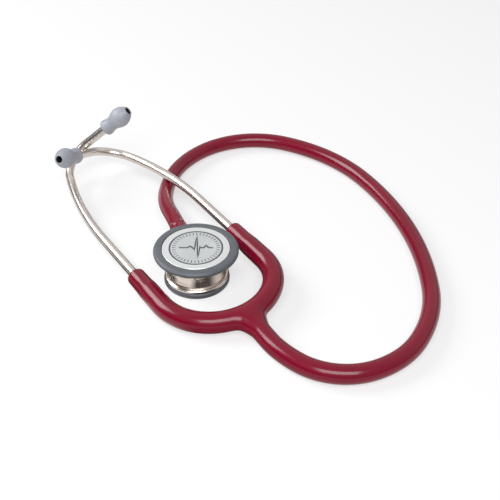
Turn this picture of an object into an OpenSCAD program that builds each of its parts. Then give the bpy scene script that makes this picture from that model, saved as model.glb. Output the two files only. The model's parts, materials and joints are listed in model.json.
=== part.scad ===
// Dual-head stethoscope, laid on a table on its small side with the tubing looped round.
// Millimetres. The origin is the centre of the small side's resting face, +Z is up
// through the chestpiece, and +Y runs away from the crossing of the long tube and the yoke.
// Local frames: +X is the way a tube runs, +Y is its left, +Z is its top.

/* [Chestpiece] */
// Outer diameter of the rim on the large side
large_rim_d = 46.5; // [45.5:0.5:48]
// Outer diameter of the rim on the small side
small_rim_d = 36; // [35.5:0.5:37]
// Height of the large rim's top above the resting face
chest_h = 22; // [21.6:0.2:23]
// Smallest diameter of the metal body between the two sides
waist_d = 31.8; // [31.2:0.2:33]
// Height of the stem's axis above the resting face
stem_z = 11; // [10.6:0.2:11.4]
// Heading of the stem, anticlockwise from +X seen from above
stem_heading = 109.3; // [105:0.1:113]

/* [Tubing] */
// Outside diameter of the long tube near the chestpiece
tube_d_thin = 9.0; // [8.6:0.1:9.4]
// Outside diameter of the long tube near the yoke
tube_d_thick = 10.6; // [10:0.1:11]
// Diameter of the sound channel
channel_d = 3.2; // [2.8:0.1:3.6]
// Height of the long tube's centreline above the table
tube_z = 5.3; // [5.2:0.1:5.6]

/* [Yoke] */
// Radius of the yoke's U, on the tube's centreline
yoke_r = 32; // [31.5:0.5:33]
// Outside diameter of the U
yoke_d = 11.6; // [11:0.1:12]
// Outside diameter of the sleeves that hold the ear tubes
sleeve_d = 10.2; // [9.6:0.1:10.6]
// Length of each arm from the bottom of the U to the sleeve's end
arm_len = 79.6; // [78:0.4:81]
// Length of the trunk between the long tube and the U
trunk_len = 21.8; // [21:0.2:24]
// Roll of the yoke, right side up
yoke_roll = 4.2; // [3.8:0.2:4.6]

/* [Headset] */
// Outside diameter of the metal ear tubes
ear_tube_d = 5.2; // [4.8:0.1:5.2]
// Straight length of each sleeve before the ear tube's inner end
sleeve_free = 7; // [5:0.5:9]
// Largest diameter of an ear tip
ear_tip_d = 12; // [11:0.2:12.4]
// Length of an ear tip
ear_tip_len = 20; // [18:0.5:21]
// Bend radius of the left arm's curve
left_bend_r = 33.5; // [32:0.5:36]
// Bend radius of the right arm's curve
right_bend_r = 30; // [28:0.5:32]
// Inward heading of the left ear tube
left_toe = 0.3; // [0:0.1:1]
// Inward heading of the right ear tube
right_toe = 1.2; // [0.8:0.1:2]
// Upward tilt of the left arm
left_pitch = 1.2; // [0.8:0.1:2]
// Upward tilt of the right arm
right_pitch = 1.7; // [1.5:0.1:2.2]
// Turn of the left ear tube in its sleeve, inward side up
left_twist = 0; // [0:1:6]
// Turn of the right ear tube in its sleeve, inward side up
right_twist = -13.5; // [-16:0.5:-13]

/* [Hidden] */
$fn = 64;
eps = 0.01;
seam_half = 0.45;
seam_grow = 0.06;
flex_gap = 0.25;

burgundy = [0.48, 0.07, 0.16];
steel = [0.72, 0.69, 0.66];
spring_steel = [0.45, 0.45, 0.48];
soft_grey = [0.56, 0.56, 0.60];
rim_grey = [0.46, 0.47, 0.50];
dark_grey = [0.25, 0.26, 0.28];
disc_grey = [0.84, 0.85, 0.86];

// ---- placement ----
function move_m(v) = [[1, 0, 0, v[0]], [0, 1, 0, v[1]], [0, 0, 1, v[2]], [0, 0, 0, 1]];
function turn_m(a) = [[cos(a), -sin(a), 0, 0], [sin(a), cos(a), 0, 0], [0, 0, 1, 0], [0, 0, 0, 1]];
function roll_m(a) = [[1, 0, 0, 0], [0, cos(a), -sin(a), 0], [0, sin(a), cos(a), 0], [0, 0, 0, 1]];
// positive lifts the nose
function pitch_m(a) = [[cos(a), 0, -sin(a), 0], [0, 1, 0, 0], [sin(a), 0, cos(a), 0], [0, 0, 0, 1]];
mirror_m = [[1, 0, 0, 0], [0, -1, 0, 0], [0, 0, 1, 0], [0, 0, 0, 1]];

// A run of tube is a list of rows [straight, bend radius, bend angle, roll before the bend,
// outside radius]. A positive angle bends left.
function side_of(row) = row[2] < 0 ? -1 : 1;
function bend_roll(row) = row[3] + (row[2] < 0 ? 180 : 0);
function step_m(row) = move_m([row[0], 0, 0]) * roll_m(row[3]) *
    move_m([0, side_of(row) * row[1], 0]) * turn_m(row[2]) * move_m([0, -side_of(row) * row[1], 0]);
function run_m(rows, n) = n == 0 ? move_m([0, 0, 0]) : run_m(rows, n - 1) * step_m(rows[n - 1]);
function end_m(rows) = run_m(rows, len(rows));
function point_of(m) = [m[0][3], m[1][3], m[2][3]];
function left_of(m) = [m[0][1], m[1][1], m[2][1]];
// roll that brings a run's top side back to the top
function roll_level(m) = atan2(-m[2][1], m[2][2]);

module rod(x0, x1, r) {
    translate([x0, 0, 0]) rotate([0, 90, 0]) cylinder(h = x1 - x0, r = r);
}

module taper(x0, x1, r0, r1) {
    translate([x0, 0, 0]) rotate([0, 90, 0]) cylinder(h = x1 - x0, r1 = r0, r2 = r1);
}

// one row of a run, as wide as r
module run_row(row, r) {
    if (row[0] > 0) rod(0, row[0], r);
    if (row[2] != 0)
        translate([row[0], 0, 0]) rotate([bend_roll(row), 0, 0])
            translate([0, row[1], 0]) rotate([0, 0, -90])
                rotate_extrude(angle = abs(row[2])) translate([row[1], 0]) circle(r);
}

// a short, slightly wider band that joins two rows into one solid
module seam(r) {
    rod(-seam_half, seam_half, r + seam_grow);
}

module run_solid(rows, r = 0) {
    for (i = [0:len(rows) - 1])
        multmatrix(run_m(rows, i)) {
            run_row(rows[i], r > 0 ? r : rows[i][4]);
            if (i > 0) seam(r > 0 ? r : max(rows[i][4], rows[i - 1][4]));
            if (rows[i][0] > 0 && rows[i][2] != 0)
                translate([rows[i][0], 0, 0]) seam(r > 0 ? r : rows[i][4]);
        }
}

// a flat strip set edge-on in the outer side of a bend
module strip_row(row, r, t, w) {
    translate([row[0], 0, 0]) rotate([bend_roll(row), 0, 0])
        translate([0, row[1], 0]) rotate([0, 0, -90])
            rotate_extrude(angle = abs(row[2])) translate([row[1] + r, 0]) square([t, w], center = true);
}

// Room in the fixed side of a flexing joint at frame m: a ball seat, and the half space that
// the moving side's square end sweeps as it turns by angle about axis.
module flex_room(m, r, axis, angle) {
    reach = 4 * r;
    p = point_of(m);
    translate(p) {
        sphere(r + flex_gap);
        for (a = [0, angle])
            rotate(a = a, v = axis) translate(-p) multmatrix(m)
                translate([-flex_gap, -reach / 2, -reach / 2]) cube(reach);
    }
}

// ---- chestpiece ----
large_r = large_rim_d / 2;
small_r = small_rim_d / 2;
waist_r = waist_d / 2;
flange_r = large_r - 1.7;       // metal flange inside the large rim
small_flange_r = small_r - 1.3; // metal flange inside the small rim
large_seat_z = chest_h - 1.9;   // metal face under the large diaphragm
small_seat_z = 1.7;             // metal face over the small diaphragm
rim_lip_t = 0.6;                // thickness of a rim's lip over its diaphragm
journal_r = 3.95;
stem_bore_r = 4;
stem_end = -4;                  // closed inner end of the stem
seal_x = 4.2;                   // along the stem, from the chestpiece axis
ball_x = 8;
ball_r = 0.8;
ball_track_r = 3.5;             // bottom of the groove that the ball runs in
ball_z = ball_track_r + ball_r + 0.02;
screw_r = 1.25;
neck_r = 3.4;
shoulder_x = 12;
ring_x = 13.2;
ring_t = 0.8;
ring_r = 5.5;
barb_start = 21;                // where the tubing begins
barb_end = 37;
barb_r = 3.15;
stem_m = move_m([0, 0, stem_z]) * turn_m(stem_heading);

module on_stem() {
    multmatrix(stem_m) children();
}

module waist_profile() {
    bow_r = 12; // radius of the hollow round the waist
    difference() {
        union() {
            translate([0, small_seat_z]) square([small_flange_r, 1.2]);
            translate([0, small_seat_z]) square([small_flange_r - 0.9, 2]);
            translate([0, 3.5]) square([small_r - 1.2, 1.1]);
            translate([0, 4.05]) square([small_r - 0.65, 0.55]);
            translate([small_r - 1.2, 4.05]) circle(0.55);
            polygon([[0, 4.4], [waist_r + 0.9, 4.4], [waist_r + 4.2, chest_h - 4.4],
                [large_r - 2.2, chest_h - 4.4], [large_r - 2.2, chest_h - 3.7], [0, chest_h - 3.7]]);
            translate([0, chest_h - 3.8]) square([flange_r - 0.9, 1.9]);
            translate([0, large_seat_z - 1.2]) square([flange_r, 1.2]);
        }
        translate([waist_r + bow_r, 10]) circle(bow_r, $fn = 96);
    }
}

module chestpiece_body() {
    color(steel) difference() {
        rotate_extrude($fn = 96) waist_profile();
        // shallow cones over each diaphragm, joined by the sound channel
        translate([0, 0, large_seat_z - 1.5]) cylinder(h = 1.5 + eps, r1 = 2, r2 = large_r - 5);
        translate([0, 0, small_seat_z - eps]) cylinder(h = 2, r1 = small_r - 4.6, r2 = 2);
        translate([0, 0, small_seat_z]) cylinder(h = large_seat_z - small_seat_z, d = channel_d - 0.2);
        on_stem() {
            rod(stem_end - 0.3, shoulder_x + eps, stem_bore_r);
            rod(shoulder_x, large_r, 5.1);
            rod(ring_x - 0.05, ring_x + ring_t + 0.05, ring_r + 0.05);
            translate([ball_x, 0, 3]) cylinder(h = 9, r = ball_r + 0.05);
            translate([ball_x, 0, 6.85]) cylinder(h = 3, r = screw_r);
        }
    }
}

module stem() {
    barb_x = [25, 29.5, 34];
    color(steel) on_stem() difference() {
        union() {
            rod(stem_end, shoulder_x + eps, journal_r);
            rod(shoulder_x + 0.1, shoulder_x + 1, 4.7);
            rod(shoulder_x, barb_start, neck_r);
            rod(barb_start - eps, barb_end, barb_r - 0.25);
            for (x = barb_x) taper(x, x + 2, barb_r, barb_r - 0.25);
        }
        rod(stem_end + 1.5, barb_end + eps, channel_d / 2 - 0.1);
        cylinder(h = 5, d = channel_d - 0.2);
        translate([seal_x, 0, 0]) rotate([0, 90, 0]) difference() {
            cylinder(h = 1.2, r = 4.5, center = true);
            cylinder(h = 1.4, r = 2.95, center = true);
        }
        translate([ball_x, 0, 0]) rotate([0, 90, 0]) difference() {
            cylinder(h = 1.8, r = 4.5, center = true);
            cylinder(h = 2, r = ball_track_r, center = true);
        }
        // one dimple for each side of the chestpiece
        for (side = [-1, 1]) translate([ball_x, 0, side * (ball_z - 0.12)]) sphere(ball_r + 0.05);
    }
}

module stem_collar() {
    collar_x = 16.4;
    edge = 0.4;
    color(steel) on_stem() difference() {
        union() {
            rod(collar_x, collar_x + 2.2 - edge, 4.9);
            taper(collar_x + 2.2 - edge - eps, collar_x + 2.2, 4.9, 4.9 - edge);
        }
        rod(collar_x - 1, collar_x + 4, neck_r + 0.02);
    }
}

module stem_seal() {
    wire_r = 0.5;
    color(dark_grey) on_stem() translate([seal_x, 0, 0]) rotate([0, 90, 0])
        rotate_extrude() translate([3.47, 0]) circle(wire_r, $fn = 24);
}

module retaining_ring() {
    opening = 50;
    color(spring_steel) on_stem() translate([ring_x, 0, 0]) rotate([0, 90, 0])
        rotate_extrude(angle = 360 - opening) translate([3.6, 0]) square([ring_r - 3.6, ring_t]);
}

module index_ball() {
    color(steel) on_stem() translate([ball_x, 0, ball_z]) sphere(ball_r);
}

// wire wound as half turns that climb in turn from side to side
module index_spring() {
    wire_r = 0.14;
    coil_r = 0.6;
    turns = 3;
    height = 1.4;
    climb = height / turns / 2;
    slope = atan(climb / (2 * coil_r));
    half_r = sqrt(pow(coil_r, 2) + pow(climb / 2, 2));
    base = ball_z + ball_r + wire_r + 0.06;
    color(spring_steel) on_stem() translate([ball_x, 0, base]) {
        for (i = [0:2 * turns - 1]) translate([0, 0, (i + 0.5) * climb])
            rotate([0, i % 2 == 0 ? slope : -slope, 0]) rotate([0, 0, i % 2 == 0 ? 0 : 180])
                rotate_extrude(angle = 180, $fn = 32) translate([half_r, 0]) circle(wire_r, $fn = 16);
        for (i = [0:2 * turns])
            translate([i % 2 == 0 ? coil_r : -coil_r, 0, i * climb]) sphere(wire_r + 0.015, $fn = 24);
    }
}

module index_screw() {
    slot_w = 0.4;
    color(steel) on_stem() translate([ball_x, 0, 6.9]) difference() {
        cylinder(h = 1, r = screw_r - 0.03);
        translate([-2, -slot_w / 2, 0.6]) cube([4, slot_w, 1]);
    }
}

// Rim and diaphragm of one side, drawn face up with the top of the rim at z = 0.
module rim(r, lip_r, groove_r, neck_r, depth) {
    edge = 1; // roundness of the outer edge
    rotate_extrude($fn = 96) difference() {
        union() {
            translate([lip_r, -depth]) square([r - lip_r - edge, depth]);
            translate([r - edge - 0.1, -depth + edge]) square([edge + 0.1, depth - 2 * edge]);
            translate([r - edge, -edge]) circle(edge, $fn = 32);
            translate([r - edge, -depth + edge]) circle(edge, $fn = 32);
        }
        translate([0, -depth - 1]) square([neck_r, depth + 1 - 1.9]);
        translate([0, -3.15]) square([groove_r, 3.15 - rim_lip_t]);
    }
}

module diaphragm(face_r, flange_r) {
    translate([0, 0, -0.9]) cylinder(h = 0.8, r = face_r, $fn = 96);
    translate([0, 0, -1.1]) cylinder(h = 0.45, r = flange_r, $fn = 96);
}

module large_rim() {
    color(rim_grey) translate([0, 0, chest_h])
        rim(large_r, large_r - 4.7, flange_r + 0.05, flange_r - 0.85, 3.6);
}

module large_diaphragm() {
    color(disc_grey) translate([0, 0, chest_h]) diaphragm(large_r - 4.8, large_r - 3.4);
}

module small_rim() {
    color(dark_grey) mirror([0, 0, 1])
        rim(small_r, small_r - 3.4, small_flange_r + 0.05, small_flange_r - 0.85, 3.4);
}

module small_diaphragm() {
    color(disc_grey) mirror([0, 0, 1]) diaphragm(small_r - 3.5, small_r - 2.2);
}

// ---- tubing ----
thin_r = tube_d_thin / 2;
thick_r = tube_d_thick / 2;
channel_r = channel_d / 2;
lead_flare_r = thin_r + 0.4; // the tube's end, stretched over the stem
flare_end = 35;
dip_r = 100;         // radius of the bends that bring the tube down to the table
lead_straight = 37.5;
turn_r = 71;         // first plan bend of the loop
turn_all = 35.3;     // its whole angle seen from above
turn_lead = 7;       // the part that belongs to the lead
turn_down = 18;      // the part made while the tube still runs downhill
// the tube levels out and turns at once, so that bend lies in a leaning plane
level_lean = atan2(turn_r, dip_r);
level_r = 1 / sqrt(1 / pow(dip_r, 2) + 1 / pow(turn_r, 2));
drop = stem_z - tube_z;
drop_reach = turn_r * sin(turn_down);
drop_share = dip_r / 2 + level_r * pow(cos(turn_down), 2) / (2 * sin(level_lean));
dip = (sqrt(pow(drop_reach, 2) + 4 * drop_share * drop) - drop_reach) / (2 * drop_share) * 180 / PI;

lead_rows = [
    [lead_straight, dip_r, dip, -90, thin_r],
    [0, turn_r, -turn_lead, 90, thin_r]];
lead_m = stem_m * end_m(lead_rows);

downhill_row = [0, turn_r, turn_lead - turn_down, 0, thin_r];
downhill_m = lead_m * step_m(downhill_row);
level_side = downhill_m * roll_m(180 - level_lean);
level_row = [0, level_r, atan2(-downhill_m[2][0], level_side[2][1]), 180 - level_lean, thin_r];
low_m = downhill_m * step_m(level_row);
turned = stem_heading - atan2(low_m[1][0], low_m[0][0]);

function tube_r(part) = thin_r + (thick_r - thin_r) * part;
// the loop, from the chestpiece round to the yoke
main_rows = [
    downhill_row,
    level_row,
    [0, turn_r, turned - turn_all, roll_level(low_m), thin_r],
    [0, 60, -33, 0, tube_r(0.05)],
    [0, 50, -63, 0, tube_r(0.12)],
    [0, 98, -36.5, 0, tube_r(0.22)],
    [0, 193, -33, 0, tube_r(0.38)],
    [0, 86, -29, 0, tube_r(0.55)],
    [0, 50, -36.5, 0, tube_r(0.72)],
    [0, 37, -62, 0, tube_r(0.86)],
    [0, 68, -17.5, 0, tube_r(1)]];
main_end_m = lead_m * end_m(main_rows);

lift_margin = 44; // how far the lead and the yoke can be lifted, with some to spare
lead_hinge_m = lead_m * turn_m(180);

module tube_lead() {
    color(burgundy) difference() {
        union() {
            multmatrix(stem_m) {
                rod(barb_start, flare_end, lead_flare_r);
                taper(flare_end - eps, flare_end + 2, lead_flare_r, thin_r - 0.1);
            }
            difference() {
                multmatrix(stem_m) run_solid(lead_rows);
                multmatrix(stem_m) rod(-1, barb_end - 6, 2 * thin_r);
            }
            translate(point_of(lead_m)) sphere(thin_r - 0.1);
        }
        multmatrix(stem_m) run_solid(lead_rows, channel_r);
        multmatrix(stem_m) rod(barb_start - 1, barb_end + 0.4, barb_r + 0.03);
        multmatrix(lead_m) rod(-0.3, thin_r, channel_r + seam_grow);
    }
}

module main_tube() {
    color(burgundy) difference() {
        multmatrix(lead_m) run_solid(main_rows);
        multmatrix(lead_m) run_solid(main_rows, channel_r);
        flex_room(lead_hinge_m, thin_r - 0.1, -left_of(lead_hinge_m), lift_margin);
        flex_room(main_end_m, thick_r - 0.1, -left_of(main_end_m), lift_margin);
    }
}

// ---- yoke ----
u_r = yoke_d / 2;
sleeve_r = sleeve_d / 2;
hinge_arc = 50; // from the bottom of the U to where each arm flexes
yoke_z = u_r + 0.1 + yoke_r * sin(yoke_roll);
tube_low = main_end_m[2][3];
trunk_pitch = asin((yoke_z - tube_low) / trunk_len);
u_bottom_m = main_end_m * pitch_m(trunk_pitch) * move_m([trunk_len, 0, 0]) * pitch_m(-trunk_pitch)
    * roll_m(-yoke_roll);
swing_margin = 31;      // how far each arm can swing out, with some to spare
left_swing_tilt = 30;   // the swing's axis leans, so each arm rises as it opens
right_swing_tilt = -10;

// side is 1 for the left arm and -1 for the right arm
function bottom_m(side) = u_bottom_m * turn_m(90 * side);
function hinge_row(side) = [0, yoke_r, -side * hinge_arc, 0, u_r];
function arm_m(side) = bottom_m(side) * step_m(hinge_row(side));
function toe(side) = side > 0 ? left_toe : right_toe;
function arm_bend(side) = 90 - hinge_arc + toe(side);
// roll of the arm's bend, which gives the sleeve its upward tilt
function arm_lean(side) = asin(sin(side > 0 ? left_pitch : right_pitch) / sin(arm_bend(side)));
function arm_row(side) = [0, side > 0 ? left_bend_r : right_bend_r, -side * arm_bend(side),
    -side * arm_lean(side), u_r];
function sleeve_m(side) = arm_m(side) * step_m(arm_row(side)) * roll_m(side * arm_lean(side));
function arm_straight(side) = arm_len - (yoke_r * hinge_arc + arm_row(side)[1] * arm_bend(side)) * PI / 180;
function swing_axis(side) = point_of(u_bottom_m * roll_m(yoke_roll) * roll_m(side > 0 ? left_swing_tilt :
    right_swing_tilt) * move_m([0, 0, side])) - point_of(u_bottom_m);

strip_at = 3.7; // leaf spring's distance outside the centreline
strip_t = 0.6;
strip_w = 4.4;
strip_room = 0.04;
middle_strip = 37;          // half angle of the middle leaf spring
arm_strip = 34;             // angle of each arm's leaf spring along the bend
web_t = 7;                  // thickness of the webs beside the trunk
web_fillet = 8;

// the U's own arc, and the middle leaf spring's, begin on the right side
function u_start_m(a) = bottom_m(1) * move_m([0, -yoke_r, 0]) * turn_m(a) * move_m([0, yoke_r, 0]);

module trunk_webs() {
    outer = yoke_r + u_r;
    side_y = thick_r + web_fillet;
    reach = yoke_r - sqrt(pow(outer + web_fillet, 2) - pow(side_y, 2));
    spread = outer / (outer + web_fillet) * side_y;
    linear_extrude(height = web_t, center = true) difference() {
        polygon([[0, -spread], [0, spread], [reach, thick_r - 1], [reach, -thick_r + 1]]);
        for (side = [-1, 1]) translate([reach, side * side_y]) circle(web_fillet);
    }
}

module yoke_base() {
    color(burgundy) difference() {
        union() {
            multmatrix(main_end_m) {
                sphere(thick_r - 0.1);
                rotate([0, -trunk_pitch, 0]) rod(0, trunk_len, thick_r);
            }
            multmatrix(u_start_m(hinge_arc)) run_row([0, yoke_r, -2 * hinge_arc, 0], u_r);
            multmatrix(u_bottom_m) trunk_webs();
        }
        multmatrix(main_end_m) {
            rod(-thick_r, 0.3, channel_r + seam_grow);
            rotate([0, -trunk_pitch, 0]) rod(0, trunk_len, channel_r + 0.15);
        }
        multmatrix(u_start_m(hinge_arc + 1)) run_row([0, yoke_r, -2 * hinge_arc - 2, 0], channel_r);
        multmatrix(u_start_m(middle_strip + 0.1)) strip_row([0, yoke_r, -2 * middle_strip - 0.2, 0],
            strip_at, strip_t + strip_room, strip_w + strip_room);
        for (side = [-1, 1]) flex_room(arm_m(side), u_r - 0.1, swing_axis(side), swing_margin);
    }
}

module yoke_arm(side) {
    end_x = arm_straight(side);
    edge = 1;
    color(burgundy) difference() {
        union() {
            multmatrix(arm_m(side)) {
                run_row(arm_row(side), u_r);
                sphere(u_r - 0.1);
            }
            multmatrix(sleeve_m(side)) {
                seam(u_r);
                taper(0, end_x - edge, u_r, sleeve_r);
                taper(end_x - edge, end_x, sleeve_r, sleeve_r - 0.5);
            }
        }
        multmatrix(arm_m(side)) {
            run_row(arm_row(side), channel_r);
            rod(-u_r, 0.3, channel_r + seam_grow);
            strip_row(arm_strip_row(side), strip_at, strip_t + strip_room, strip_w + strip_room);
        }
        multmatrix(sleeve_m(side)) {
            seam(channel_r);
            rod(0, end_x, channel_r);
            rod(sleeve_free - 0.2, end_x + 1, ear_r + 0.05);
            rod(sleeve_free + bead_x - 0.05, sleeve_free + bead_x + bead_w + 0.05, bead_r + 0.05);
        }
    }
}

function arm_strip_row(side) = [0, arm_row(side)[1], -side * arm_strip, arm_row(side)[3]];

module leaf_spring_middle() {
    color(spring_steel) multmatrix(u_start_m(middle_strip))
        strip_row([0, yoke_r, -2 * middle_strip, 0], strip_at, strip_t, strip_w);
}

module leaf_spring_arm(side) {
    color(spring_steel) multmatrix(arm_m(side)) strip_row(arm_strip_row(side), strip_at, strip_t, strip_w);
}

// ---- headset ----
ear_r = ear_tube_d / 2;
ear_bore_r = ear_r - 0.75;
bead_r = ear_r + 0.35; // bead that keeps the ear tube in its sleeve
bead_x = 7;            // from the ear tube's inner end
bead_w = 1.2;
tip_grip = 14;         // how much of the ear tip sits over the tube
ear_straight = 57.5;   // from the inner end to the long curve
tip_run = 37.5;        // straight length from the last bend to the ear tip's end
function ear_rows(side) = [
    [ear_straight, 208, -side * 18.4, 0, ear_r],
    [0, 14.8, -side * 103.5, -side * 41, ear_r],
    [tip_run - ear_tip_len + tip_grip, 0, 0, 0, ear_r]];
function twist(side) = side > 0 ? left_twist : right_twist;
function ear_m(side) = sleeve_m(side) * move_m([sleeve_free, 0, 0]) * roll_m(-side * twist(side));
function tip_m(side) = ear_m(side) * end_m(ear_rows(side)) * move_m([-tip_grip, 0, 0]);

module ear_tube(side) {
    color(steel) multmatrix(ear_m(side)) difference() {
        union() {
            run_solid(ear_rows(side));
            rod(bead_x, bead_x + bead_w, bead_r);
        }
        run_solid(ear_rows(side), ear_bore_r);
        rod(-1, 1, ear_bore_r + seam_grow);
    }
}

module ear_tip(side) {
    len = ear_tip_len;
    r = ear_tip_d / 2;
    color(soft_grey) multmatrix(tip_m(side)) rotate([0, 90, 0]) rotate_extrude() difference() {
        union() {
            square([4.2, 2.4]);
            translate([0, 0.3]) square([4.45, 1.8]);
            polygon([[0, 2], [3.9, 2.4], [3.6, 4.5], [4.1, 7], [r - 0.9, 9.5], [r - 0.2, 11], [r, 12.6],
                [r - 0.15, 14.2], [r - 0.75, 16], [r - 1.8, 17.8], [r - 3, len - 0.7], [r - 3.7, len], [0, len]]);
        }
        translate([-1, -1]) square([ear_r + 1.04, tip_grip + 1.2]);
        translate([-1, 0]) square([ear_bore_r + 1, len + 1]);
    }
}

main_tube();
tube_lead();
yoke_base();
yoke_arm(1);  // yoke_arm_left
yoke_arm(-1);  // yoke_arm_right
leaf_spring_middle();
leaf_spring_arm(1);  // leaf_spring_left
leaf_spring_arm(-1);  // leaf_spring_right
ear_tube(1);  // ear_tube_left
ear_tube(-1);  // ear_tube_right
ear_tip(1);  // ear_tip_left
ear_tip(-1);  // ear_tip_right
stem();
stem_collar();
stem_seal();
retaining_ring();
chestpiece_body();
index_ball();
index_spring();
index_screw();
large_rim();
large_diaphragm();
small_rim();
small_diaphragm();
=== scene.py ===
# Looks of the stethoscope: moulded tubing, bent metal ear tubes, soft ear tips and a turned chestpiece.
# Lengths are in millimetres until a mesh is made; the same bend rows as in the CAD source drive every tube.
import json
import math

import bmesh
import bpy
import numpy as np
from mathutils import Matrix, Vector


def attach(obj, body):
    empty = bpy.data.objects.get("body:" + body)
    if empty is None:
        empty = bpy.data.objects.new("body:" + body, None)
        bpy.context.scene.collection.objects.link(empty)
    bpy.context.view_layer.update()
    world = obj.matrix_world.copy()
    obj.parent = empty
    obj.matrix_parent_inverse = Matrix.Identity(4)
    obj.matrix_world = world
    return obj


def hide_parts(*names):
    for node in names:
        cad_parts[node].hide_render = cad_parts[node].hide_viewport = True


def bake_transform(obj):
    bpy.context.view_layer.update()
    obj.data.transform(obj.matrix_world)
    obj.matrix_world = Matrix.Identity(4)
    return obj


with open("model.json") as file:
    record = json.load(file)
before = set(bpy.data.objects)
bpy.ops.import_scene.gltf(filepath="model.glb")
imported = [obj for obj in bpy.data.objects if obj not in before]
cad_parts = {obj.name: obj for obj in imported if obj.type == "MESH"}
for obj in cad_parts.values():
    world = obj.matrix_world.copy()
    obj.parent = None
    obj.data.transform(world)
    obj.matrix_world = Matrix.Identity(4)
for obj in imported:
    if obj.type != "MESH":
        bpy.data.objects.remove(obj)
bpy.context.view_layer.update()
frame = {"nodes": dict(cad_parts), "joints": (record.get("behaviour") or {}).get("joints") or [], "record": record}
scene = bpy.context.scene
joints = {j["name"]: j for j in frame["joints"]}
MM = 0.001


# ---------------------------------------------------------------- runs of tube
def move(x=0.0, y=0.0, z=0.0):
    m = np.eye(4)
    m[:3, 3] = (x, y, z)
    return m


def turned(axis, degrees):
    c, s = math.cos(math.radians(degrees)), math.sin(math.radians(degrees))
    m = np.eye(4)
    i, j = [(1, 2), (0, 2), (0, 1)][axis]
    m[i, i] = m[j, j] = c
    m[i, j], m[j, i] = -s, s
    return m


def roll(degrees):
    return turned(0, degrees)


def pitch(degrees):
    return turned(1, degrees)


def turn(degrees):
    return turned(2, degrees)


def step(row, part=1.0):
    """Placement after a row (straight, radius, angle, roll), or after a part of its bend."""
    straight, radius, angle, lean = row
    side = -1 if angle < 0 else 1
    return move(straight) @ roll(lean) @ move(0, side * radius) @ turn(angle * part) @ move(0, -side * radius)


class Run:
    """A centreline made of straights and bends, from a starting placement."""

    def __init__(self, start, rows):
        self.parts = []
        s, m = 0.0, np.array(start, float)
        for row in rows:
            straight, radius, angle, lean = row
            if straight:
                self.parts.append((s, s + straight, m, None))
                s += straight
            if angle:
                arc = radius * math.radians(abs(angle))
                self.parts.append((s, s + arc, m @ move(straight), (0, radius, angle, lean)))
                s += arc
            m = m @ step(row)
        self.end, self.length = m, s

    def at(self, s):
        """Placement at distance s; before the start and past the end it goes straight on."""
        for s0, s1, m, row in self.parts:
            if s <= s1:
                break
        if row is None:
            return m @ move(s - s0)
        inside = min(max(s, s0), s1)
        return m @ step(row, (inside - s0) / (s1 - s0)) @ move(s - inside)

    def point(self, s):
        return self.at(s)[:3, 3]

    def closest(self, points):
        """Distance of each point to the centreline, and where along it that is."""
        best, where = np.full(len(points), 1e9), np.zeros(len(points))
        for s0, s1, m, row in self.parts:
            p = (points - m[:3, 3]) @ m[:3, :3]
            if row is None:
                s = np.clip(p[:, 0], 0, s1 - s0)
                d = np.sqrt((p[:, 0] - s) ** 2 + p[:, 1] ** 2 + p[:, 2] ** 2)
            else:
                _, radius, angle, lean = row
                side = -1 if angle < 0 else 1
                q = p @ roll(lean)[:3, :3]
                x, y = q[:, 0], radius - side * q[:, 1]
                a = np.clip(np.arctan2(x, y), 0, math.radians(abs(angle)))
                near = np.c_[radius * np.sin(a), side * (radius - radius * np.cos(a)), np.zeros(len(a))]
                d, s = np.linalg.norm(q - near, axis=1), a * radius
            nearer = d < best
            best[nearer], where[nearer] = d[nearer], (s0 + s)[nearer]
        return best, where


# ---------------------------------------------------------------- meshes
def outline(corners, arc_steps=6):
    """Rows (s, r, normal along, normal out) of a turned outline. A corner is (s, r, rounding)."""
    pts = [np.array(c[:2], float) for c in corners]
    rows = []

    def normal(a, b):
        d = (b - a) / max(np.linalg.norm(b - a), 1e-9)
        return np.array([-d[1], d[0]])

    rows.append((pts[0], normal(pts[0], pts[1])))
    for k in range(1, len(pts) - 1):
        a, p, b = pts[k - 1], pts[k], pts[k + 1]
        n0, n1 = normal(a, p), normal(p, b)
        bend = math.acos(float(np.clip(n0 @ n1, -1, 1)))
        if bend < 1e-4:
            rows.append((p, n0))
            continue
        room_left = 0.49 * min(np.linalg.norm(p - a), np.linalg.norm(b - p))
        reach = max(min(corners[k][2] * math.tan(bend / 2), room_left), 1e-3)
        radius = reach / math.tan(bend / 2)
        way = 1.0 if n0[0] * n1[1] - n0[1] * n1[0] < 0 else -1.0
        start = p + (a - p) / np.linalg.norm(a - p) * reach
        centre = start - n0 * radius * way
        count = max(2, int(round(arc_steps * bend / (math.pi / 2))) + 1)
        for t in np.linspace(0, 1, count):
            n = n0 * math.sin((1 - t) * bend) + n1 * math.sin(t * bend)
            n /= np.linalg.norm(n)
            rows.append((centre + n * radius * way, n))
    rows.append((pts[-1], normal(pts[-2], pts[-1])))
    return [(p[0], p[1], n[0], n[1]) for p, n in rows]


def refine(rows, gap):
    """The same outline with points no further apart along the run than gap."""
    out = [rows[0]]
    for a, b in zip(rows, rows[1:]):
        n = max(1, int(math.ceil(abs(b[0] - a[0]) / gap)))
        for k in range(1, n + 1):
            t = k / n
            q = [a[i] + (b[i] - a[i]) * t for i in range(4)]
            size = math.hypot(q[2], q[3])
            out.append((q[0], q[1], q[2] / size, q[3] / size))
    return out


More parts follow.
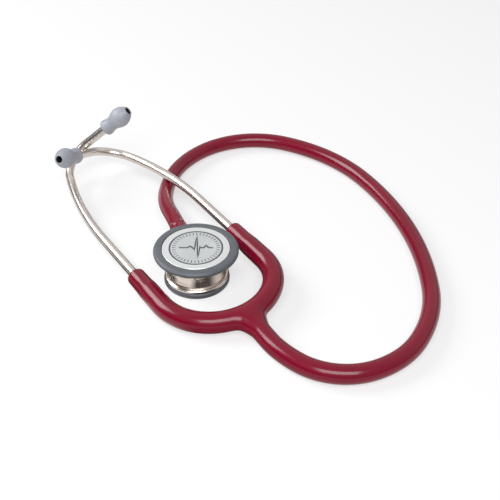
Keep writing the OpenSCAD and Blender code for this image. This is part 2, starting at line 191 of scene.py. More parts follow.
def mesh_object(name, verts, faces, normals, uv=None):
    mesh = bpy.data.meshes.new(name)
    mesh.from_pydata((np.asarray(verts) * MM).tolist(), [], faces)
    mesh.validate()
    mesh.polygons.foreach_set("use_smooth", np.ones(len(mesh.polygons), bool))
    if uv is not None:
        layer = mesh.uv_layers.new(name="UVMap")
        index = np.zeros(len(mesh.loops), np.int32)
        mesh.loops.foreach_get("vertex_index", index)
        layer.data.foreach_set("uv", np.asarray(uv, np.float32)[index].ravel())
    if normals is not None:
        mesh.normals_split_custom_set_from_vertices(np.asarray(normals, float).tolist())
    obj = bpy.data.objects.new(name, mesh)
    scene.collection.objects.link(obj)
    return obj


def ring_faces(count, ring):
    """Quads between each ring of points and the next."""
    faces = []
    for i in range(count - 1):
        for j in range(ring):
            k = (j + 1) % ring
            faces.append((i * ring + j, i * ring + k, (i + 1) * ring + k, (i + 1) * ring + j))
    return faces


def skin(name, run, rows, ring, shape=None):
    """A turned outline carried along a run. shape(s, angle) may add to the radius."""
    angles = np.linspace(0, 2 * math.pi, ring, endpoint=False)
    co, normals, uv = [], [], []
    for s, r, n_along, n_out in rows:
        m = run.at(s)
        t = m[:3, 0]
        up = np.array([0, 0, 1.0]) - t * t[2]
        up /= np.linalg.norm(up)
        side = np.cross(up, t)
        out = np.outer(np.cos(angles), side) + np.outer(np.sin(angles), up)
        radius = np.full(ring, float(r)) if shape is None else r + shape(s, angles)
        co.append(m[:3, 3] + out * radius[:, None])
        normals.append(out * n_out + t * n_along)
        uv.append(np.c_[angles / (2 * math.pi), np.full(ring, s / 100)])
    known = np.vstack(normals) if shape is None else None
    return mesh_object(name, np.vstack(co), ring_faces(len(rows), ring), known, np.vstack(uv))


def turned_piece(name, m, rows, ring):
    """A turned outline about the X axis of a placement."""
    angles = np.linspace(0, 2 * math.pi, ring, endpoint=False)
    co, normals, uv = [], [], []
    for s, r, n_along, n_out in rows:
        out = np.outer(np.cos(angles), m[:3, 1]) + np.outer(np.sin(angles), m[:3, 2])
        co.append(m[:3, 3] + m[:3, 0] * s + out * max(r, 1e-4))
        normals.append(out * n_out + m[:3, 0] * n_along)
        uv.append(np.c_[angles / (2 * math.pi), np.full(ring, s / 100)])
    return mesh_object(name, np.vstack(co), ring_faces(len(rows), ring), np.vstack(normals), np.vstack(uv))


# ---------------------------------------------------------------- materials
class Nodes:
    """Short way to write a node material."""

    def __init__(self, name):
        self.material = bpy.data.materials.new(name)
        self.material.use_nodes = True
        self.tree = self.material.node_tree
        self.bsdf = self.tree.nodes["Principled BSDF"]
        self.coord = self.tree.nodes.new("ShaderNodeTexCoord")

    def add(self, kind, inputs=None, **settings):
        node = self.tree.nodes.new("ShaderNode" + kind)
        for key, value in settings.items():
            setattr(node, key, value)
        for key, value in (inputs or {}).items():
            self.link(value, node.inputs[key])
        return node

    def link(self, value, socket):
        if isinstance(value, bpy.types.NodeSocket):
            self.tree.links.new(value, socket)
        elif isinstance(value, bpy.types.Node):
            self.tree.links.new(value.outputs[0], socket)
        else:
            socket.default_value = value

    def set(self, **inputs):
        for key, value in inputs.items():
            self.link(value, self.bsdf.inputs[key.replace("_", " ")])

    def noise(self, scale, detail, vector=None):
        return self.add("TexNoise", {"Vector": vector or self.coord.outputs["Object"], "Scale": scale,
                                     "Detail": detail, "Roughness": 0.55}).outputs["Fac"]

    def ramp(self, value, low, high, to_low=0.0, to_high=1.0):
        node = self.add("MapRange", {"Value": value, "From Min": low, "From Max": high, "To Min": to_low,
                                     "To Max": to_high})
        return node.outputs["Result"]

    def math(self, how, a, b=0.0, c=0.0):
        node = self.add("Math", {0: a, 1: b, 2: c}, operation=how)
        return node.outputs[0]

    def mix(self, factor, a, b):
        node = self.add("Mix", {"Factor": factor, 6: a, 7: b}, data_type="RGBA")
        return node.outputs[2]

    def bump(self, height, strength, distance, normal=None):
        node = self.add("Bump", {"Height": height, "Strength": strength, "Distance": distance})
        if normal is not None:
            self.link(normal, node.inputs["Normal"])
        return node.outputs["Normal"]


def srgb(*levels):
    """Linear colour of three display levels, 0 to 255."""
    shares = [level / 255 for level in levels]
    return (*[c / 12.92 if c <= 0.04045 else ((c + 0.055) / 1.055) ** 2.4 for c in shares], 1.0)


def root_of_squares(n, a, b):
    return n.math("SQRT", n.math("ADD", n.math("POWER", a, 2.0), n.math("POWER", b, 2.0)))


def tubing_material():
    n = Nodes("burgundy_pvc")
    broad = n.noise(22, 3)
    fine = n.noise(900, 2)
    specks = n.noise(2600, 1)
    base = n.mix(n.ramp(broad, 0.3, 0.7), srgb(113, 2, 33), srgb(123, 4, 38))
    dusty = n.mix(n.ramp(specks, 0.7, 0.78, 0.0, 0.12), base, srgb(180, 90, 100))
    n.set(Base_Color=dusty, Roughness=n.ramp(broad, 0.25, 0.75, 0.20, 0.28), Subsurface_Weight=0.04,
          Subsurface_Radius=(1.0, 0.15, 0.1), Subsurface_Scale=0.0015, Coat_Weight=0.3, Coat_Roughness=0.12,
          Specular_IOR_Level=0.22,
          Normal=n.bump(fine, 0.03, 0.00004, n.bump(n.noise(110, 2), 0.16, 0.00014)))
    return n.material


def steel_material():
    n = Nodes("polished_steel")
    smear = n.noise(60, 4)
    scratch = n.noise(1400, 2, vector=n.add("Mapping", {"Vector": n.coord.outputs["Object"],
                                                         "Scale": (1.0, 1.0, 14.0)}).outputs[0])
    n.set(Base_Color=n.mix(n.ramp(smear, 0.3, 0.7), srgb(210, 203, 198), srgb(220, 213, 208)), Metallic=1.0,
          Roughness=n.ramp(smear, 0.25, 0.75, 0.24, 0.29), Normal=n.bump(scratch, 0.004, 0.00001))
    return n.material


def turned_steel_material():
    n = Nodes("turned_steel")
    parts = n.add("SeparateXYZ", {0: n.coord.outputs["Object"]})
    radius = root_of_squares(n, parts.outputs[0], parts.outputs[1])
    ringed = n.add("CombineXYZ", {0: radius, 2: parts.outputs[2]})
    lines = n.noise(2200, 3, vector=ringed.outputs[0])
    smear = n.noise(70, 4)
    n.set(Base_Color=n.mix(n.ramp(smear, 0.3, 0.7), srgb(208, 199, 190), srgb(220, 212, 204)), Metallic=1.0,
          Roughness=n.ramp(smear, 0.25, 0.75, 0.2, 0.28), Anisotropic=0.7, Anisotropic_Rotation=0.25,
          Tangent=n.add("Tangent", direction_type="RADIAL", axis="Z").outputs[0],
          Normal=n.bump(lines, 0.1, 0.00001))
    return n.material


def spring_material():
    n = Nodes("spring_steel")
    grain = n.noise(500, 4)
    n.set(Base_Color=n.mix(grain, srgb(120, 118, 116), srgb(160, 158, 156)), Metallic=1.0,
          Roughness=n.ramp(grain, 0.2, 0.8, 0.3, 0.5), Normal=n.bump(grain, 0.15, 0.00002))
    return n.material


def soft_material(name, low, high, rough=(0.5, 0.62), sheen=0.15):
    """Soft matt rubber or plastic between two display colours."""
    n = Nodes(name)
    broad, grain = n.noise(90, 3), n.noise(1500, 2)
    n.set(Base_Color=n.mix(n.ramp(broad, 0.3, 0.7), srgb(*low), srgb(*high)),
          Roughness=n.ramp(broad, 0.25, 0.75, *rough), Sheen_Weight=sheen, Sheen_Roughness=0.5,
          Subsurface_Weight=0.05, Subsurface_Scale=0.001,
          Normal=n.bump(grain, 0.22, 0.00004))
    return n.material


def diaphragm_material(name, print_r):
    """Pale matt disc with a generic print: one ring, a ring of fine ticks and a pulse trace."""
    n = Nodes(name)
    parts = n.add("SeparateXYZ", {0: n.coord.outputs["Object"]})
    x, y = parts.outputs[0], parts.outputs[1]
    radius = root_of_squares(n, x, y)
    angle = n.math("ARCTAN2", y, x)
    sharp = 0.00006
    ring_half, tick_half, line_half = 0.0005, 0.001, 0.00055   # metres
    half_ticks = 20.0
    pulse_width, pulse_height = print_r * 0.66, print_r * 1.15

    def band(value, centre, half):
        away = n.math("ABSOLUTE", n.math("SUBTRACT", value, centre))
        return n.ramp(away, half - sharp, half + sharp, 1.0, 0.0)

    ring = band(radius, print_r, ring_half)
    ticks_on = band(radius, print_r * 0.85, tick_half)
    wave = n.math("ABSOLUTE", n.math("SINE", n.math("MULTIPLY", angle, half_ticks)))
    ticks = n.math("MULTIPLY", ticks_on, n.ramp(wave, 0.36, 0.44, 1.0, 0.0))
    # the pulse: flat, a small bump, a sharp rise and fall, flat again
    across = n.math("DIVIDE", x, pulse_width)
    shape = [(0.0, 0.5), (0.26, 0.5), (0.33, 0.58), (0.40, 0.5), (0.45, 0.43), (0.51, 0.97), (0.57, 0.12),
             (0.62, 0.5), (0.72, 0.5), (0.79, 0.62), (0.87, 0.5), (1.0, 0.5)]

    def pulse(ahead):
        curve = n.add("FloatCurve", {"Value": n.math("MULTIPLY_ADD", across, 0.5, 0.5 + ahead)})
        line = curve.mapping.curves[0]
        line.points[0].location, line.points[1].location = shape[0], shape[-1]
        for p in shape[1:-1]:
            line.points.new(*p)
        for p in line.points:
            p.handle_type = "VECTOR"
        curve.mapping.update()
        return n.math("MULTIPLY", n.math("SUBTRACT", curve.outputs[0], 0.5), pulse_height)

    # the line keeps its width on the steep parts
    reach = 0.012
    slope = n.math("DIVIDE", n.math("SUBTRACT", pulse(reach), pulse(-reach)), 4 * reach * pulse_width)
    width = n.math("MULTIPLY", n.math("SQRT", n.math("MULTIPLY_ADD", slope, slope, 1.0)), line_half)
    off = n.math("ABSOLUTE", n.math("SUBTRACT", y, pulse(0.0)))
    on_line = n.ramp(n.math("DIVIDE", off, width), 0.9, 1.1, 1.0, 0.0)
    trace = n.math("MULTIPLY", on_line, n.ramp(n.math("ABSOLUTE", across), 0.97, 0.99, 1.0, 0.0))
    ink = n.math("MAXIMUM", n.math("MAXIMUM", ring, ticks), trace)
    worn = n.ramp(n.noise(1800, 3), 0.35, 0.6, 0.8, 1.0)
    broad, grain = n.noise(60, 3), n.noise(3000, 2)
    pale = n.mix(n.ramp(broad, 0.3, 0.7), srgb(196, 200, 201), srgb(205, 209, 210))
    pale = n.mix(n.ramp(radius, print_r, print_r + sharp), pale, srgb(216, 220, 220))
    printed = n.math("MULTIPLY", ink, worn)
    n.set(Base_Color=n.mix(printed, pale, srgb(44, 46, 52)), Metallic=n.ramp(printed, 0.0, 1.0, 0.45, 0.0),
          Roughness=n.ramp(broad, 0.25, 0.75, 0.34, 0.44), Coat_Weight=0.08, Coat_Roughness=0.3,
          Normal=n.bump(n.math("ADD", grain, n.math("MULTIPLY", ink, 0.6)), 0.12, 0.00004))
    return n.material


def floor_material():
    """Pale board; part of its brightness is fixed, so shadows stay as light as on an overexposed sweep."""
    n = Nodes("pale_floor")
    broad, grain = n.noise(3, 3), n.noise(400, 3)
    tone = n.mix(n.ramp(broad, 0.3, 0.7), (0.92, 0.92, 0.925, 1), (0.94, 0.94, 0.94, 1))
    n.set(Base_Color=tone, Roughness=n.ramp(broad, 0.25, 0.75, 0.6, 0.7), Specular_IOR_Level=0.15,
          Normal=n.bump(grain, 0.03, 0.0001))
    fixed_share, board, dark_edge = 0.66, 0.88, 0.12
    glow = n.add("Emission", {"Color": (0.97, 0.972, 0.98, 1), "Strength": 1.0})
    seen = n.add("MixShader", {0: fixed_share, 1: n.bsdf.outputs[0], 2: glow.outputs[0]})
    # reflections see a glowing board of their own, a painted reflection without shadows and dark towards the left
    place = n.add("SeparateXYZ", {0: n.add("NewGeometry").outputs["Position"]}).outputs
    far = root_of_squares(n, place[0], place[1])
    # near the chestpiece it glows in two lighter sectors, painted reflections standing in for cards set round it;
    # angle 0 is the camera's side
    angle = n.math("ARCTAN2", place[0], n.math("MULTIPLY", place[1], -1.0))
    left = n.ramp(n.math("ABSOLUTE", n.math("ADD", angle, 0.62)), 0.30, 0.62, 1.15, 0.0)
    right = n.ramp(n.math("ABSOLUTE", n.math("SUBTRACT", angle, 1.25)), 0.12, 0.55, 0.7, 0.0)
    painted_reflection_sectors = n.math("ADD", n.math("ADD", left, right), 0.06)
    outside = n.ramp(far, 0.045, 0.10)
    strength = n.math("ADD", n.math("MULTIPLY", painted_reflection_sectors, n.math("SUBTRACT", 1.0, outside)),
                      n.math("MULTIPLY", outside, board))
    strength = n.math("MULTIPLY", strength, n.ramp(place[0], -0.30, -0.17, dark_edge, 1.0))
    dim = n.add("Emission", {"Color": (1.0, 0.965, 0.945, 1), "Strength": strength})
    glossy = n.add("LightPath").outputs["Is Glossy Ray"]
    both = n.add("MixShader", {0: glossy, 1: seen.outputs[0], 2: dim.outputs[0]})
    n.link(both, n.tree.nodes["Material Output"].inputs["Surface"])
    return n.material


TUBING = tubing_material()
STEEL = steel_material()
TURNED = turned_steel_material()
SPRING = spring_material()
EAR_SOFT = soft_material("ear_tip_rubber", (146, 149, 158), (158, 161, 170), rough=(0.38, 0.48), sheen=0.05)
# painted shade: near black, for the inside of the ear tips' sound holes
HOLE_PAINTED_SHADE = soft_material("sound_hole_painted_shade", (26, 27, 30), (34, 35, 38), sheen=0.0)
RIM = soft_material("rim_soft_grey", (84, 88, 94), (93, 97, 103), rough=(0.42, 0.54), sheen=0.05)
SMALL_RIM = soft_material("small_rim_grey", (70, 73, 80), (80, 83, 90), rough=(0.42, 0.54), sheen=0.05)
SEAL = soft_material("seal_rubber", (24, 24, 26), (34, 34, 36))
# the number is the radius of the printed ring, in metres
LARGE_FACE = diaphragm_material("large_diaphragm_face", 0.0143)
SMALL_FACE = diaphragm_material("small_diaphragm_face", 0.0100)


def dress(obj, body, material, replaces):
    """Material, body and slot of a finished piece, and the CAD nodes that it stands in for."""
    obj.data.materials.append(material)
    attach(obj, body)
    for node in replaces:
        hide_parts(node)


def dress_blend(obj, start, end, replaces=()):
    """Tubing skin: gets the tubing material, is baked in place and hides the CAD nodes it stands in for; start and
    end are not used.
    """
    obj.data.materials.append(TUBING)
    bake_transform(obj)
    for node in replaces:
        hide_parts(node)


# ---------------------------------------------------------------- the runs, as in the CAD source
# Radii of the tubing at its thin and thick ends, the U, the sleeves and the ear tubes; a row of a run is
# (straight, bend radius, bend angle, roll).
THIN, THICK, U_R, SLEEVE_R, EAR_R = 4.5, 5.3, 5.8, 5.1, 2.6
STEM_Z, TUBE_Z, DIP_R, TURN_R = 11.0, 5.3, 100.0, 71.0
LEAD_TURN, DOWN_TURN = 7, 11   # degrees that the tube turns in the lead, and then on its way down
turn_joint = joints["chestpiece_turn"]
heading = math.degrees(math.atan2(turn_joint["axis"][1], turn_joint["axis"][0]))
stem_m = move(*(np.array(turn_joint["pos_m"]) / MM)) @ turn(heading)

level_lean = math.degrees(math.atan2(TURN_R, DIP_R))
level_r = 1 / math.sqrt(1 / DIP_R**2 + 1 / TURN_R**2)
# the dip that brings the tube from the stem's height down to the table
turned_by = math.radians(LEAD_TURN + DOWN_TURN)
reach = TURN_R * math.sin(turned_by)
share = DIP_R / 2 + level_r * math.cos(turned_by) ** 2 / (2 * math.sin(math.radians(level_lean)))
dip = math.degrees((math.sqrt(reach**2 + 4 * share * (STEM_Z - TUBE_Z)) - reach) / (2 * share))
lead_rows = [(37.5, DIP_R, dip, -90), (0, TURN_R, -LEAD_TURN, 90)]
hinge_s = Run(stem_m, lead_rows).length
lead_m = Run(stem_m, lead_rows).end
downhill = (0, TURN_R, -DOWN_TURN, 0)
m = lead_m @ step(downhill)
level_side = m @ roll(180 - level_lean)
level = (0, level_r, math.degrees(math.atan2(-m[2, 0], level_side[2, 1])), 180 - level_lean)
m = m @ step(level)
already = heading - math.degrees(math.atan2(m[1, 0], m[0, 0]))
back_level = math.degrees(math.atan2(-m[2, 1], m[2, 2]))
main_rows = [downhill, level, (0, TURN_R, already - 35.3, back_level), (0, 60, -33, 0), (0, 50, -63, 0),
             (0, 98, -36.5, 0), (0, 193, -33, 0), (0, 86, -29, 0), (0, 50, -36.5, 0), (0, 37, -62, 0),
             (0, 68, -17.5, 0)]
main_end = Run(lead_m, main_rows).end

YOKE_R, TRUNK, HINGE_ARC, YOKE_ROLL = 32.0, 21.8, 50.0, 4.2
yoke_z = U_R + 0.1 + YOKE_R * math.sin(math.radians(YOKE_ROLL))
trunk_pitch = math.degrees(math.asin((yoke_z - main_end[2, 3]) / TRUNK))
bottom = main_end @ pitch(trunk_pitch) @ move(TRUNK) @ pitch(-trunk_pitch) @ roll(-YOKE_ROLL)
long_run = Run(stem_m, lead_rows + main_rows)
trunk_run = Run(main_end @ pitch(trunk_pitch), [(TRUNK, 0, 0, 0)])
end_s = long_run.length


class JoinedRun:
    """The end of the long tube and the trunk, as one run; s is 0 where they meet."""

    ease = 6.0   # the upward bend between them is spread this far to both sides

    def at(self, s):
        m = trunk_run.at(s) if s > 0 else long_run.at(end_s + s)
        if abs(s) >= self.ease:
            return m
        part = (s + self.ease) / (2 * self.ease)
        m = m @ pitch(trunk_pitch * (part - 1 if s > 0 else part))
        m[2, 3] += math.tan(math.radians(trunk_pitch)) * (self.ease - abs(s)) ** 2 / (4 * self.ease)
        return m

    def point(self, s):
        return self.at(s)[:3, 3]


ARM_LEN = 79.6        # from the bottom of the U to a sleeve's end
SLEEVE_FREE = 7.0     # straight sleeve before the ear tube's inner end
BEAD = 7.6            # middle of the bead, from the ear tube's inner end
ARM_BEND_R = {1: 33.5, -1: 30.0}
TOE = {1: 0.3, -1: 1.2}
ARM_PITCH = {1: 1.2, -1: 1.7}
TWIST = {1: 0.0, -1: -13.5}
SIDES = {1: "left", -1: "right"}


def arm_run(side):
    bend = 90 - HINGE_ARC + TOE[side]
    straight = ARM_LEN - math.radians(YOKE_R * HINGE_ARC + ARM_BEND_R[side] * bend)
    lean = math.degrees(math.asin(math.sin(math.radians(ARM_PITCH[side])) / math.sin(math.radians(bend))))
    rows = [(0, YOKE_R, -side * HINGE_ARC, 0), (0, ARM_BEND_R[side], -side * bend, -side * lean),
            (0, 1, 0, side * lean), (straight, 0, 0, 0)]
    return Run(bottom @ turn(90 * side), rows)


arms = {side: arm_run(side) for side in SIDES}
ear_runs = {}
for side in SIDES:
    straight = arms[side].parts[-1][1] - arms[side].parts[-1][0]
    start = arms[side].end @ move(SLEEVE_FREE - straight) @ roll(-side * TWIST[side])
    # along the sleeve, a long gentle bend inwards, then the sharp bend that points the tip at the ear
    rows = [(57.5, 208, -side * 18.4, 0), (0, 14.8, -side * 103.5, -side * 41), (37.5, 0, 0, 0)]
    ear_runs[side] = Run(start, rows)


# ---------------------------------------------------------------- tubing skins
def tube_radius(s):
    """Radius of the long tube at a distance from the chestpiece's axis; it thickens towards the yoke."""
    knots = [(0, THIN), (hinge_s + 60, THIN + 0.02), (hinge_s + 220, THIN + 0.28),
             (hinge_s + 340, THIN + 0.5), (end_s - 40, THICK), (end_s + 60, THICK)]
    return float(np.interp(s, [k[0] for k in knots], [k[1] for k in knots]))


def long_rows(s0, s1, gap=1.4):
    """Rows of the long tube; its radius is smoothed over a short stretch."""
    n = int(math.ceil((s1 - s0) / gap))
    near = 6
    rows = []
    for s in np.linspace(s0, s1, n + 1):
        slope = (tube_radius(s + near) - tube_radius(s - near)) / (2 * near)
        r = (tube_radius(s + near) + tube_radius(s) + tube_radius(s - near)) / 3
        rows.append((s, r, -slope, 1.0))
    return rows


LEAD_CUT = hinge_s + 20    # seam between the lead's skin and the loop's skin, in a stiff stretch
LOOP_CUT = end_s - 16      # seam between the loop's skin and the trunk's skin

MOUTH_END = 44.0           # the widening over the stem has faded out here
lead_mouth = refine(outline([(25.0, 3.28, 0), (21.25, 3.28, 0.3), (21.05, 3.5, 0.2), (21.0, 4.75, 0.45),
                             (22.0, 5.0, 1.5), (30.0, 4.95, 6), (37.0, 4.55, 14),
                             (MOUTH_END, 4.5, 10)]), 0.5)
BARBS = (25.8, 30.2, 34.8)
RIDGE, CREASE = 0.26, 0.10


def stretched(s, angles):
    """Ridges over the stem's barbs, and the creases where the tube is stretched off them."""
    ridge = sum(RIDGE * math.exp(-((s - b) / 1.1) ** 2) for b in BARBS)
    near = math.exp(-((s - 35) / 7.5) ** 2) if s > 22.5 else 0.0
    crease = np.sin(3 * angles + 0.55 * s) * np.sin(0.9 * s + 1.3 * np.sin(angles))
    return ridge + CREASE * near * (crease + 0.5 * np.sin(5 * angles - 0.8 * s))


lead_rings = lead_mouth[:-1] + long_rows(MOUTH_END, LEAD_CUT, 0.6)
lead_skin = skin("tubing_lead", long_run, lead_rings, ring=72, shape=stretched)
dress_blend(lead_skin, long_run.point(hinge_s - 7), long_run.point(hinge_s + 8),
            ["tube_lead"])

loop_skin = skin("tubing_loop", long_run, long_rows(LEAD_CUT, LOOP_CUT), ring=56)
dress(loop_skin, "long_tube", TUBING, ["main_tube"])

TRUNK_CUT, U_CUT = 7.0, 34.0   # where the junction's skin starts, along the trunk and round the U
TRUNK_STOP = TRUNK - 6         # the trunk fades out here, so that it doesn't swell the U
joined = JoinedRun()
trunk_rows = [(s - end_s, r, a, b) for s, r, a, b in long_rows(LOOP_CUT, end_s + TRUNK_CUT, 1.0)]
trunk_skin = skin("tubing_trunk", joined, trunk_rows, ring=56)
dress_blend(trunk_skin, joined.point(-2.5), joined.point(TRUNK_CUT - 0.5))


# the junction: the trunk and both halves of the U melted into one surface
trunk_stub = Run(main_end @ pitch(trunk_pitch), [(TRUNK_STOP, 0, 0, 0)])
VOXEL = 0.55   # grid of the melted mesh, before its points are moved onto the exact surface


def yoke_field(points):
    """Distance outside the yoke's surface: the U and a flaring trunk, with a fillet between them."""
    fillet, flare = 7.5, 1.9
    d = np.full(len(points), 1e9)
    for side in SIDES:
        away, _ = arms[side].closest(points)
        d = np.minimum(d, away - U_R)
    away, s = trunk_stub.closest(points)
    swell = np.clip((s - TRUNK_CUT) / (TRUNK_STOP - TRUNK_CUT), 0, 1)
    sideways = ((points - main_end[:3, 3]) @ main_end[:3, 1]) / np.maximum(away, 1e-6)
    t = away - THICK - flare * swell * swell * (3 - 2 * swell) * np.minimum(sideways**2, 1)
    h = np.maximum(fillet - np.abs(d - t), 0) / fillet
    return np.minimum(d, t) - h**3 * fillet / 6


def settle(points, field, rounds=6):
    """Moves points onto the field's zero surface; returns them and the surface's normals."""
    e = 0.02
    for _ in range(rounds + 1):
        f = field(points)
        g = np.stack([(field(points + e * np.eye(3)[i]) - field(points - e * np.eye(3)[i])) / (2 * e)
                      for i in range(3)], 1)
        size = np.maximum((g**2).sum(1), 1e-6)
        points = points - g * (f / size)[:, None]
    return points, g / np.sqrt(size)[:, None]


def rough_tube(run, s0, s1, r):
    """A closed tube for the junction to be melted from."""
    rows = [(s0, 0.02, -1, 0)] + [(s, r, 0, 1) for s in np.linspace(s0, s1, 40)] + [(s1, 0.02, 1, 0)]
    return skin("rough", run, rows, ring=32)


def junction_mesh(name):
    """The three tubes melted together, moved onto the yoke's surface and cut where the other skins start."""
    spread = YOKE_R * math.radians(U_CUT + 14)
    parts = [rough_tube(arms[1], -1.0, spread, U_R), rough_tube(arms[-1], -1.0, spread, U_R),
             rough_tube(trunk_run, -4.0, TRUNK, THICK)]
    work = bmesh.new()
    for p in parts:
        work.from_mesh(p.data)
        bpy.data.objects.remove(p)
    bmesh.ops.remove_doubles(work, verts=work.verts, dist=1e-7)
    mesh = bpy.data.meshes.new(name)
    work.to_mesh(mesh)
    work.free()
    obj = bpy.data.objects.new(name, mesh)
    scene.collection.objects.link(obj)
    mod = obj.modifiers.new("melt", "REMESH")
    mod.mode, mod.voxel_size = "VOXEL", VOXEL * MM
    bpy.context.view_layer.update()
    melted = bpy.data.meshes.new_from_object(obj.evaluated_get(bpy.context.evaluated_depsgraph_get()))
    bpy.data.objects.remove(obj)
    co = np.array([v.co for v in melted.vertices], float) / MM
    co, _ = settle(co, yoke_field)
    melted.vertices.foreach_set("co", (co * MM).astype(np.float32).ravel())
    work = bmesh.new()
    work.from_mesh(melted)
    cuts = [(trunk_run.at(TRUNK_CUT), -1)]
    cuts += [(arms[side].at(YOKE_R * math.radians(U_CUT)), 1) for side in SIDES]
    for placement, way in cuts:
        everything = work.verts[:] + work.edges[:] + work.faces[:]
        bmesh.ops.bisect_plane(work, geom=everything, dist=1e-7, plane_co=placement[:3, 3] * MM,
                               plane_no=placement[:3, 0] * way, clear_outer=True)
    bmesh.ops.triangulate(work, faces=[f for f in work.faces if len(f.verts) > 4])
    out = bpy.data.meshes.new(name)
    work.to_mesh(out)
    work.free()
    co = np.array([v.co for v in out.vertices], float) / MM
    faces = [tuple(p.vertices) for p in out.polygons]
    _, normals = settle(co, yoke_field, 0)
    return mesh_object(name, co, faces, normals)


dress(junction_mesh("yoke_junction"), "yoke", TUBING, ["yoke_base"])

for side, label in SIDES.items():
    run = arms[side]
    end = run.length
    start = YOKE_R * math.radians(U_CUT)
    bead = run.parts[-1][0] + SLEEVE_FREE + BEAD
    # the U narrows to the sleeve over the bead, and the sleeve turns in over the ear tube at its mouth
    corners = [(start, U_R, 0), (bead - 14, U_R, 40), (bead - 1.5, U_R - 0.1, 22),
               (bead + 4.5, SLEEVE_R + 0.12, 22), (end - 0.9, SLEEVE_R, 3), (end, SLEEVE_R - 0.55, 0.9),
               (end, 2.95, 0.35), (end - 0.6, 2.68, 0.5), (end - 5, 2.66, 0)]
    arm = skin("yoke_arm_" + label + "_skin", run, refine(outline(corners, 8), 1.0), ring=56)
    flex_start = YOKE_R * math.radians(U_CUT + 1)
    flex_end = YOKE_R * math.radians(HINGE_ARC) + ARM_BEND_R[side] * math.radians(16)
    dress_blend(arm, run.point(flex_start), run.point(flex_end),
                ["yoke_arm_" + label])

# ---------------------------------------------------------------- ear tubes and tips
TIP_LEN, GRIP = 20.0, 14.0   # length of an ear tip, and how far the tube goes into it
TIP_RING = 72
for side, label in SIDES.items():
    run = ear_runs[side]
    stop = run.length - TIP_LEN + GRIP
    inside = 12.0            # where the visible tube starts, inside the sleeve
    corners = [(inside, EAR_R - 0.75, 0), (inside, EAR_R - 0.02, 0.1), (inside + 2, EAR_R, 2),
               (stop, EAR_R, 0.2), (stop, EAR_R - 0.7, 0.2), (stop - 8, EAR_R - 0.75, 0)]
    tube = skin("ear_tube_" + label + "_skin", run, refine(outline(corners), 0.9), ring=44)
    dress(tube, label + "_ear_tube", STEEL, ["ear_tube_" + label])

    tip_m = run.at(run.length - TIP_LEN)
    # socket, collar, neck, bulb and the sound hole
    corners = [(9.0, 2.66, 0), (0.35, 2.66, 0.2), (0.0, 3.0, 0.3), (0.0, 4.3, 0.6), (0.5, 4.78, 0.6),
               (2.1, 4.8, 1.0), (3.5, 4.5, 1.6), (5.3, 4.2, 3.0), (7.4, 4.5, 4.0), (9.6, 5.4, 4.0),
               (11.5, 5.95, 3.5), (13.3, 6.0, 3.0), (15.6, 5.5, 4.0), (17.9, 4.2, 3.5), (19.4, 3.0, 1.6),
               (TIP_LEN, 2.45, 0.5), (TIP_LEN - 0.4, 2.1, 0.4), (12.0, 1.9, 0)]
    rows = refine(outline(corners, 10), 0.8)
    tip = turned_piece("ear_tip_" + label + "_skin", tip_m, rows, TIP_RING)
    dress(tip, label + "_ear_tip", EAR_SOFT, ["ear_tip_" + label])
    # the faces inside the sound hole are the last ones; they get a near-black painted shade
    tip.data.materials.append(HOLE_PAINTED_SHADE)
    in_hole = sum(1 for row in rows if row[0] < 19.4 and row[1] < 2.2)
    for face in tip.data.polygons[-TIP_RING * in_hole:]:
        face.material_index = 1

# ---------------------------------------------------------------- chestpiece
LARGE_R, SMALL_R, CHEST_H = 23.25, 18.0, 22.0
upright = pitch(90)   # X axis up


def z_piece(name, corners, gap=30.0):
    """Turned about the chestpiece's axis; corners are (z, r, rounding)."""
    return turned_piece(name, upright, refine(outline(corners, 8), gap), ring=160)


large_rim = z_piece("large_rim_skin", [
    (CHEST_H - 1.0, 18.9, 0), (CHEST_H - 0.25, 18.7, 0.2), (CHEST_H, 18.95, 0.25), (CHEST_H, 20.6, 2.0),
    (CHEST_H - 0.25, 22.3, 1.6), (CHEST_H - 1.3, LARGE_R, 1.0), (CHEST_H - 2.5, LARGE_R - 0.05, 1.0),
    (CHEST_H - 3.55, 22.2, 0.6), (CHEST_H - 3.6, 20.9, 0.3), (CHEST_H - 3.1, 20.75, 0)][::-1])
dress(large_rim, "chestpiece", RIM, ["large_rim"])

small_rim = z_piece("small_rim_skin", [
    (3.0, 15.95, 0), (3.4, 16.1, 0.2), (3.4, 17.2, 0.4), (2.6, SMALL_R, 0.8), (1.0, SMALL_R, 0.9),
    (0.05, 17.2, 0.7), (0.0, 15.2, 0.4), (0.25, 14.75, 0.2), (0.9, 14.9, 0)][::-1])
dress(small_rim, "chestpiece", SMALL_RIM, ["small_rim"])

# from the small cone out over the foot lip, up the hollow waist and in to the large cone
body = z_piece("chestpiece_body_skin", [
    (3.4, 1.5, 0), (3.4, 2.0, 0), (1.6, 12.5, 0), (1.6, 15.7, 0.3), (3.35, 15.7, 0.2), (3.45, 17.0, 0.3),
    (3.9, 17.55, 0.4), (4.9, 17.55, 0.6), (5.35, 17.0, 0.5), (5.5, 16.3, 0.3), (6.4, 15.7, 1.2),
    (9.8, 15.3, 10), (14.0, 16.4, 9), (16.6, 18.6, 4), (18.0, 20.4, 0.8), (18.5, 20.7, 0.3),
    (CHEST_H - 1.9, 20.6, 0.3), (CHEST_H - 1.8, 18.2, 0.2), (CHEST_H - 3.2, 2.0, 0),
    (CHEST_H - 3.2, 1.5, 0)], gap=1.2)
dress(body, "chestpiece", TURNED, ["chestpiece_body"])

large_disc = z_piece("large_diaphragm_skin", [
    (CHEST_H - 0.9, 18.4, 0), (CHEST_H - 0.35, 18.45, 0.2), (CHEST_H - 0.12, 18.2, 0.2),
    (CHEST_H - 0.1, 0.0, 0)])
dress(large_disc, "large_side", LARGE_FACE, ["large_diaphragm"])
small_disc = z_piece("small_diaphragm_skin", [
    (0.1, 0.0, 0), (0.12, 14.2, 0.2), (0.35, 14.45, 0.2), (0.9, 14.4, 0)])
dress(small_disc, "small_side", SMALL_FACE, ["small_diaphragm"])

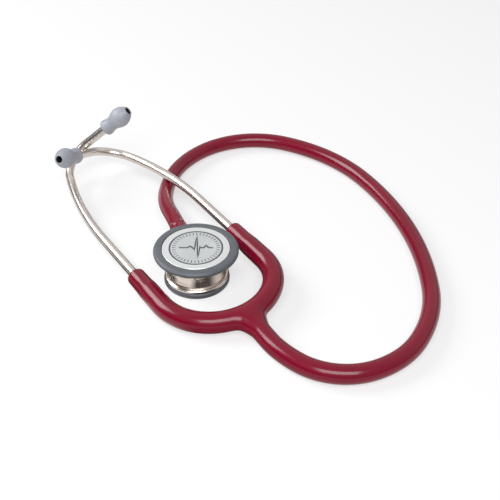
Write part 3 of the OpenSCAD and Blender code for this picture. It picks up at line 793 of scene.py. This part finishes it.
collar_m = stem_m @ move(16.4)
collar = turned_piece("stem_collar_skin", collar_m, outline([
    (0.2, 3.42, 0), (0.0, 3.6, 0.1), (0.0, 4.9, 0.25), (1.1, 4.9, 0.3), (1.25, 4.75, 0.1), (1.4, 4.9, 0.1),
    (2.2, 4.9, 0.4), (2.2, 3.6, 0.1), (2.0, 3.42, 0)]), ring=64)
dress(collar, "lead", STEEL, ["stem_collar"])

# ---------------------------------------------------------------- CAD parts that show or sit inside
LOOKS = {"tubing": TUBING, "polished_steel": STEEL, "spring_steel": SPRING, "ear_tip": EAR_SOFT, "seal": SEAL,
         "rim": RIM, "diaphragm": LARGE_FACE}
slots = {part["node"]: part["material_slot"] for part in frame["record"]["subparts"]}
for node, obj in frame["nodes"].items():
    obj.data.materials.clear()
    obj.data.materials.append(TURNED if node == "chestpiece_body" else LOOKS[slots[node]])

# ---------------------------------------------------------------- table, light and camera
bpy.ops.mesh.primitive_plane_add(size=4.0, location=(0.05, 0.4, -0.0001))
floor = bpy.context.active_object
floor.name = "table"
floor.data.materials.append(floor_material())


def softbox(name, size, energy, place, aim):
    light = bpy.data.lights.new(name, "AREA")
    light.shape, light.size, light.size_y = "RECTANGLE", size[0], size[1]
    light.energy = energy
    obj = bpy.data.objects.new(name, light)
    scene.collection.objects.link(obj)
    obj.location = place
    obj.rotation_euler = (Vector(aim) - Vector(place)).to_track_quat("-Z", "Y").to_euler()


softbox("front", (0.9, 0.6), 12.6, (0.0, -0.74, 0.98), (0.03, 0.03, 0))
softbox("left", (0.62, 0.5), 8.2, (-0.76, 0.25, 0.68), (0.03, -0.03, 0))

# the studio: even light for matt surfaces, and for reflections a room with a pale back wall
EVEN_LIGHT, BACK_WALL, ROOM, HORIZON = 0.15, 0.30, 0.48, 0.05
world = bpy.data.worlds.new("studio")
scene.world = world
world.use_nodes = True
room = world.node_tree
even = room.nodes["Background"]
even.inputs["Color"].default_value = (1.0, 1.0, 1.0, 1)
even.inputs["Strength"].default_value = EVEN_LIGHT


def room_node(kind, inputs=None, **settings):
    node = room.nodes.new("ShaderNode" + kind)
    for key, value in settings.items():
        setattr(node, key, value)
    for key, value in (inputs or {}).items():
        if isinstance(value, bpy.types.NodeSocket):
            room.links.new(value, node.inputs[key])
        else:
            node.inputs[key].default_value = value
    return node


def room_ramp(value, low, high, to_low=0.0):
    return room_node("MapRange", {"Value": value, "From Min": low, "From Max": high, "To Min": to_low,
                                  "To Max": 1.0}, interpolation_type="SMOOTHSTEP").outputs["Result"]


def room_math(how, a, b):
    return room_node("Math", {0: a, 1: b}, operation=how).outputs[0]


way = room_node("SeparateXYZ", {0: room_node("TexCoord").outputs["Generated"]}).outputs
back = room_ramp(room_math("ADD", way[1], room_math("MULTIPLY", way[0], 0.35)), -0.15, 0.45)
up = room_ramp(way[2], 0.10, 0.24)
pale = room_math("MULTIPLY", back, room_math("MULTIPLY", up, BACK_WALL))
# the dark side that draws a line down the left of polished tubes
open_side = room_math("MAXIMUM", room_ramp(way[0], -0.7, -0.3, 0.1), room_ramp(way[2], 0.35, 0.6))
level = room_math("MULTIPLY", room_math("ADD", pale, room_math("MULTIPLY", up, ROOM)), open_side)
reflected = room_node("Background", {"Color": (1.0, 0.965, 0.94, 1),
                                     "Strength": room_math("ADD", level, HORIZON)})
glossy_ray = room_node("LightPath").outputs["Is Glossy Ray"]
mixed = room_node("MixShader", {0: glossy_ray, 1: even.outputs[0], 2: reflected.outputs[0]})
room.links.new(mixed.outputs[0], room.nodes["World Output"].inputs["Surface"])

CAMERA_DOWN = 38   # degrees below the horizontal
camera_data = bpy.data.cameras.new("camera")
camera_data.sensor_width = 36.0
camera_data.lens = 78.5
camera_data.clip_start, camera_data.clip_end = 0.01, 20
camera = bpy.data.objects.new("camera", camera_data)
scene.collection.objects.link(camera)
camera.location = (0.0292, -0.4645, 0.3832)
camera.rotation_euler = (math.radians(90 - CAMERA_DOWN), 0, 0)
scene.camera = camera
scene.view_settings.view_transform = "Standard"
